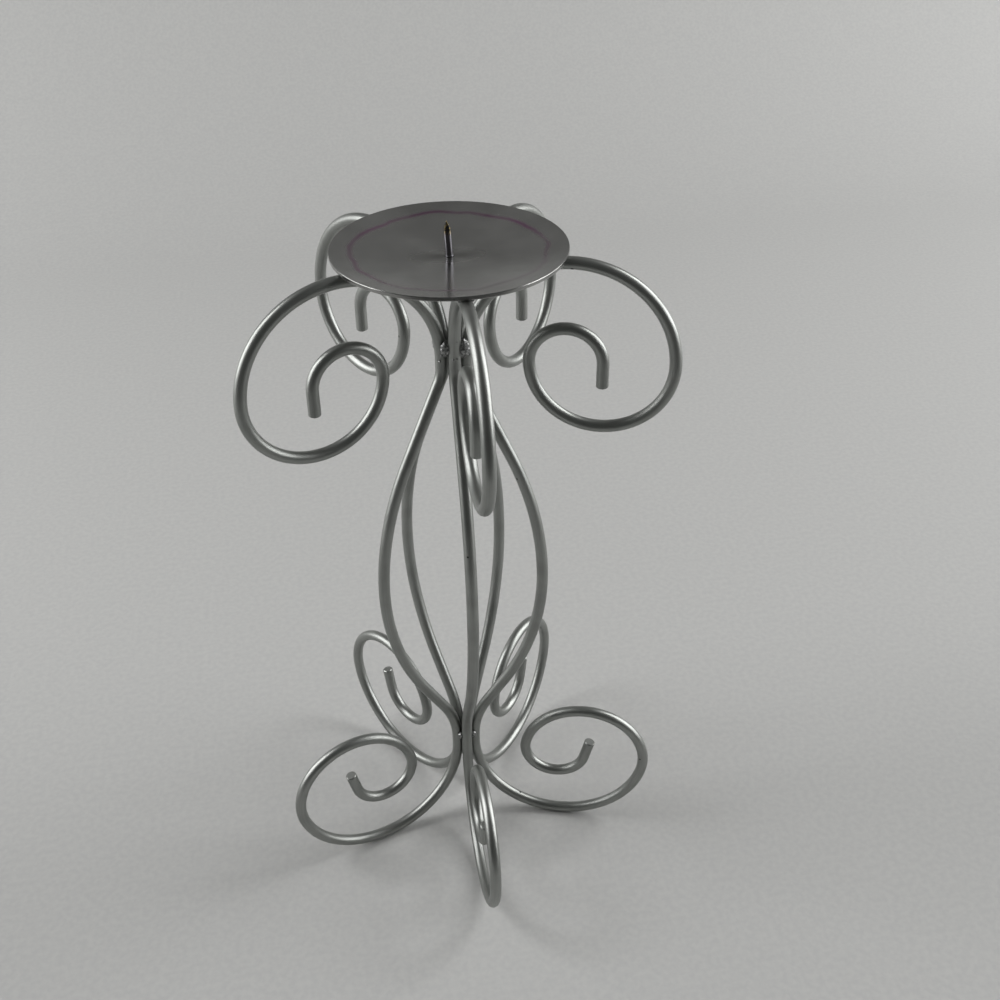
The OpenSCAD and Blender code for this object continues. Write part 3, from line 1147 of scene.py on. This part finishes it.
@dataclass
class Welds:
    """All the weld metal of the stand: at the neck, at the waist, under the pan and under the spike."""

    plan: StandPlan
    neck: WeldRun = WeldRun(1.3, 2.6, 7.6)
    neck_rise: float = 5.0  # how far the neck welds are above the crowns' centres
    waist: WeldRun = WeldRun(1.5, 1.5, 3.8)
    waist_rise: float = 3.0  # how far the waist welds are above the rods' upright run
    pan: WeldRun = WeldRun(-0.6, 1.45, 5.6)
    pan_tack_d: float = 3.2
    pan_lumps: float = 0.08
    spike: WeldRun = WeldRun(0.0, 1.0, 2.3)
    uneven: float = 0.18  # the largest share by which a bead in a groove is grown or shrunk
    shift: float = 0.5  # how far up or down such a bead may sit
    spatter: int = 22
    spatter_side: float = 75.0  # degrees around the rod from its outer side
    spatter_rise: tuple[float, float] = (-7.0, 5.0)
    spatter_size: tuple[float, float] = (0.28, 0.65)
    small: float = 0.6  # beads no larger than this are three pixels wide and get fewer faces
    small_grid: tuple[int, int] = (10, 14)
    lump_seeds: float = 9.0  # the seeds of the beads' lumps are drawn from 0 to this
    seed: int = 2129
    rng: np.random.Generator = field(init=False)

    def __post_init__(self) -> None:
        """Seeds the choice of lumps and of where spatter lands."""
        self.rng = np.random.default_rng(self.seed)

    def draw(self, low: float, high: float) -> float:
        """Returns the next random number between two limits."""
        return float(self.rng.uniform(low, high))

    def groove(self, r: float, z: float, kind: WeldRun) -> list[Bead]:
        """Lays one bead in the outer groove between each two neighbouring rods.

        Its centre stands out from the middle of the line between its two rods.

        Args:
            r: The rods' distance from the axis there.
            z: The beads' height.
            kind: How the beads lie and their size.

        Returns:
            The five beads.
        """
        beads = []
        for i in range(self.plan.rod_count):
            half = self.plan.step_after(i) / 2
            reach = r * math.cos(math.radians(half)) + kind.out
            a = math.radians(self.plan.azimuth(i) + half)
            grown = 1 + self.uneven * self.draw(-1, 1)
            centre = (reach * math.cos(a), reach * math.sin(a), z + self.draw(-self.shift, self.shift))
            seed = self.draw(0, self.lump_seeds)
            beads.append(Bead(centre, (0, 0, 1), kind.radius * grown, kind.length * grown, seed))
        return beads

    def droplets(self) -> list[Bead]:
        """Throws spatter: small drops of weld metal stuck to the rods around the neck welds.

        Each drop's centre is on a rod's surface: out to the rod, and then out by its radius to one side.

        Returns:
            The drops.
        """
        p, beads = self.plan, []
        for _ in range(self.spatter):
            i = int(self.rng.integers(0, p.rod_count))
            side, up = self.draw(-self.spatter_side, self.spatter_side), self.draw(*self.spatter_rise)
            a, b = math.radians(p.azimuth(i)), math.radians(p.azimuth(i) + side)
            size = self.draw(*self.spatter_size)
            z = p.crown_z + self.neck_rise + up
            reach, out = p.neck_reach(z), p.rod_d / 2
            centre = (reach * math.cos(a) + out * math.cos(b), reach * math.sin(a) + out * math.sin(b), z)
            beads.append(Bead(centre, (0, 0, 1), size, 2 * size, 1.0, lumps=0.05, ripples=0.0))
        return beads

    def under_pan(self) -> list[Bead]:
        """Lays two tacks beside each crown, in the corner between the rod and the pan's underside.

        Each is set out from the crown's centre, turned by the pan's slope there, and then turned with its
        rod about the axis.

        Returns:
            The ten tacks.
        """
        p, beads = self.plan, []
        tilt = math.radians(p.seat_tilt)
        up = p.bend_reach + self.pan.out
        slope = np.array([[math.cos(tilt), 0, math.sin(tilt)]])
        for i in range(p.rod_count):
            for side in (-1, 1):
                aside = side * (p.rod_d + self.pan_tack_d) / 4
                place = [p.crown_r - up * math.sin(tilt), aside, p.crown_z + up * math.cos(tilt)]
                centre, along = turned(np.array([place]), p.azimuth(i))[0], turned(slope, p.azimuth(i))[0]
                seed = self.draw(0, self.lump_seeds)
                size = (self.pan.radius, self.pan.length)
                beads.append(Bead(tuple(centre), tuple(along), *size, seed, self.pan_lumps))
        return beads

    def under_spike(self) -> list[Bead]:
        """Lays two tacks on opposite edges of the spike's head, half way down it.

        Returns:
            The two tacks.
        """
        p, kind = self.plan, self.spike
        lean, head = math.radians(p.spike_lean), p.head_d / 2
        edge = head + kind.out
        drop = p.sheet_t + p.hole_clearance + head * math.sin(lean) + p.head_t / 2
        x, z = drop * math.sin(lean), p.floor_z - drop * math.cos(lean)
        return [
            Bead((x, side * edge, z), (1, 0, 0), kind.radius, kind.length, 2.0 + side, ripples=0.0)
            for side in (-1, 1)
        ]

    def build(self, finish: bpy.types.Material) -> list[bpy.types.Object]:
        """Makes the four groups of welds, dressed, in place of their nodes.

        Args:
            finish: Their material.

        Returns:
            The four groups.
        """
        p = self.plan
        neck_z, waist_z = p.crown_z + self.neck_rise, p.waist_z + p.waist_land + self.waist_rise
        swing = p.waist_bend - math.sqrt(p.waist_bend**2 - self.waist_rise**2)
        neck = self.groove(p.neck_reach(neck_z), neck_z, self.neck)
        waist = self.groove(p.waist_r + swing, waist_z, self.waist)
        groups = {
            "neck_welds": neck + self.droplets(),
            "waist_welds": waist,
            "pan_welds": self.under_pan(),
            "spike_welds": self.under_spike(),
        }
        made = []
        for node, beads in groups.items():
            blobs = [b.surface() if b.radius > self.small else b.surface(*self.small_grid) for b in beads]
            group = piece(f"beads_{node}", joined(blobs), finish)
            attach(group, BODY)
            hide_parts(node)
            made.append(group)
        return made


# ---------------------------------------------------------------- studio


@dataclass
class Lamp:
    """One soft box: its place and size in metres, what it faces, and its power in watts."""

    name: str
    place: tuple[float, float, float]
    aim: tuple[float, float, float]
    size: tuple[float, float]
    watts: float

    def build(self) -> bpy.types.Object:
        """Sets up the soft box, out of the camera's sight.

        Returns:
            The lamp.
        """
        data = bpy.data.lights.new(self.name, "AREA")
        data.shape, data.size, data.size_y = "RECTANGLE", *self.size
        data.energy = self.watts
        made = bpy.data.objects.new(self.name, data)
        made.location = self.place
        made.rotation_euler = (Vector(self.aim) - Vector(self.place)).to_track_quat("-Z", "Y").to_euler()
        made.visible_camera = False
        bpy.context.scene.collection.objects.link(made)
        return made


@dataclass
class Cloth:
    """The cloth under the stand, in metres: flat, and then rising behind the stand to an upright hem."""

    front: float = -0.46
    flat_to: float = 0.4
    back: float = 0.7  # where it starts to rise
    bend: float = 0.4
    hem: float = 0.58
    half_width: float = 1.35
    flat_rows: int = 12
    bend_rows: int = 24
    columns: int = 9

    def surface(self) -> Surface:
        """Makes the cloth's surface.

        Seen from the side it is flat and then a quarter circle: it goes back by the sine of the angle and
        up by one less the cosine, each times the bend's radius.

        Returns:
            The surface, in metres, facing up and forwards.
        """
        a = np.linspace(0, math.pi / 2, self.bend_rows)
        flat = np.linspace(self.front, self.flat_to, self.flat_rows)
        y = np.concatenate([flat, self.back + self.bend * np.sin(a), [self.back + self.bend]])
        z = np.concatenate([np.zeros(self.flat_rows), self.bend * (1 - np.cos(a)), [self.hem]])
        x = np.linspace(-self.half_width, self.half_width, self.columns)
        points = np.stack(np.broadcast_arrays(x[None], y[:, None], z[:, None]), -1)
        index = np.arange(points.shape[0] * points.shape[1]).reshape(points.shape[:2])
        near, far = index[:-1], index[1:]
        quads = np.stack([near[:, :-1], near[:, 1:], far[:, 1:], far[:, :-1]], -1).reshape(-1, 4)
        places = points.reshape(-1, 3)
        return Surface(places, quads, np.zeros((0, 3), int), places.copy())

    def build(self, finish: bpy.types.Material) -> bpy.types.Object:
        """Lays the cloth as part of the studio.

        Args:
            finish: Its material.

        Returns:
            The cloth.
        """
        made = piece("cloth", self.surface(), finish)
        return made


@dataclass
class Studio:
    """The camera, the lamps and the dim room around the stand.

    Two broad, low soft boxes stand far out at the sides, and two small ones hang high at the sides, a
    little behind the stand, so that the rods are bright at their sides, dark towards the camera and throw
    two faint shadows.
    """

    camera_place: tuple[float, float, float] = (-0.05556, -0.43788, 0.48699)
    yaw: float = 9.5607
    pitch: float = 34.439
    roll: float = -0.636
    focal_share: float = 1.2587  # focal length over the width of the picture
    sensor: float = 36.0
    sight: tuple[float, float] = (0.01, 20.0)  # the nearest and the farthest that the camera sees
    room_front: str = "#505150"
    room_back: str = "#828281"
    room_turn: tuple[float, float] = (-0.2, 0.6)  # a direction's Y where the front ends and the back starts
    lamps: tuple[Lamp, ...] = (
        Lamp("side_left", (-1.50, 0.30, 0.60), (0, 0, 0.25), (1.3, 1.0), 16.0),
        Lamp("side_right", (1.80, 0.00, 0.67), (0, 0, 0.25), (1.8, 1.3), 31.0),
        Lamp("high_left", (-1.05, 0.20, 1.20), (0, 0.3, 0.0), (0.5, 0.5), 6.0),
        Lamp("high_right", (1.05, 0.15, 1.20), (0, 0.3, 0.0), (0.5, 0.5), 5.5),
    )

    def camera(self) -> bpy.types.Object:
        """Sets up the camera at the photograph's viewing angle and distance.

        It looks ahead along the yaw, down by the pitch, and is then rolled about that line.

        Returns:
            The camera.
        """
        yaw, pitch, roll = (math.radians(a) for a in (self.yaw, self.pitch, self.roll))
        level = math.cos(pitch)
        ahead = Vector((math.sin(yaw) * level, math.cos(yaw) * level, -math.sin(pitch)))
        right = Vector((math.cos(yaw), -math.sin(yaw), 0.0))
        up = right.cross(ahead)
        x = math.cos(roll) * right + math.sin(roll) * up
        y = -math.sin(roll) * right + math.cos(roll) * up
        data = bpy.data.cameras.new("camera")
        data.sensor_width, data.lens = self.sensor, self.sensor * self.focal_share
        data.clip_start, data.clip_end = self.sight
        made = bpy.data.objects.new("camera", data)
        turn = Matrix((x, y, -ahead)).transposed().to_4x4()
        made.matrix_world = Matrix.Translation(self.camera_place) @ turn
        bpy.context.scene.collection.objects.link(made)
        bpy.context.scene.camera = made
        return made

    def world(self) -> None:
        """Gives the room its dim, soft light, a little brighter behind the stand than in front of it."""
        world = bpy.data.worlds.new("room")
        world.use_nodes = True
        tree = world.node_tree
        tree.nodes.clear()
        towards = (add_node(tree, "TexCoord"), "Generated")
        depth = add_node(tree, "SeparateXYZ", {0: towards})
        start, end = self.room_turn
        share = add_node(
            tree,
            "MapRange",
            {"Value": (depth, "Y"), "From Min": start, "From Max": end},
            interpolation_type="SMOOTHSTEP",
        )
        colour = add_node(
            tree, "Mix", {"Factor": share, FIRST: self.room_front, SECOND: self.room_back}, data_type="RGBA"
        )
        back = add_node(tree, "Background", {"Color": (colour, MIXED), "Strength": 1.0})
        add_node(tree, "OutputWorld", {"Surface": back})
        bpy.context.scene.world = world

    def build(self) -> None:
        """Sets up everything around the stand but the cloth."""
        self.camera()
        self.world()
        for lamp in self.lamps:
            lamp.build()
        bpy.context.scene.view_settings.view_transform = "Standard"


def main() -> None:
    """Builds the stand and its studio."""
    logging.basicConfig(level=logging.INFO, format="%(name)s %(message)s")
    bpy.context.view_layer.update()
    plan = StandPlan()
    Studio().build()
    Cloth().build(finished(ClothFinish.name, ClothFinish().nodes))
    steel = finished(DrawnRodFinish.name, DrawnRodFinish().nodes)
    for station in Station:
        ScrollRod(plan, station).build(steel)
    DripPan(plan).build(finished(PressedPanFinish.name, PressedPanFinish().nodes))
    CandleSpike(plan).build(finished(NailFinish.name, NailFinish().nodes))
    Welds(plan).build(finished(WeldFinish.name, WeldFinish().nodes))
    bpy.context.view_layer.update()
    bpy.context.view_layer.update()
    log.info("stand built: neck radius %.3f mm, dish floor at %.3f mm", plan.neck_r, plan.floor_z)


if __name__ == "__main__":
    main()
